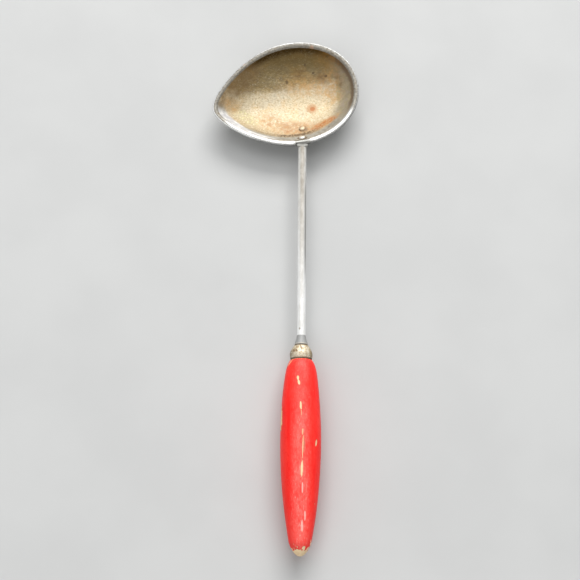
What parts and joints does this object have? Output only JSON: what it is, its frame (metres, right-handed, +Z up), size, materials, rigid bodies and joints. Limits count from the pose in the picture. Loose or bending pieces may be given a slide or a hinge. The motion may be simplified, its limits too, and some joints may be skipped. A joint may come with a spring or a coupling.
{
  "type": "side-pour gravy ladle",
  "caption": "Shallow egg-shaped ladle bowl with a rolled lip and side pouring end, riveted to a round steel shank with a ferrule and a turned wooden handle.",
  "frame": {"origin": "middle of the worn flat on the underside of the bowl, where the ladle rests on a table", "axes": "+Z up, away from the table; +Y from the handle towards the bowl's far rim; the bowl's pouring end points to -X"},
  "size_m": [0.0839, 0.2913, 0.022],
  "materials": {
    "tinned_bowl": "aged tinned steel with tarnish and rust spots",
    "shank_steel": "dull bright steel, lightly mottled",
    "rivet_steel": "tinned, worn bright",
    "ferrule_metal": "aged plated steel, brown in its scratches",
    "painted_wood": "worn satin paint over pale wood"
  },
  "bodies": {
    "root": {"bowl": "tinned_bowl", "shank": "shank_steel", "rivets": "rivet_steel", "ferrule": "ferrule_metal", "handle": "painted_wood"}
  },
  "joints": []
}
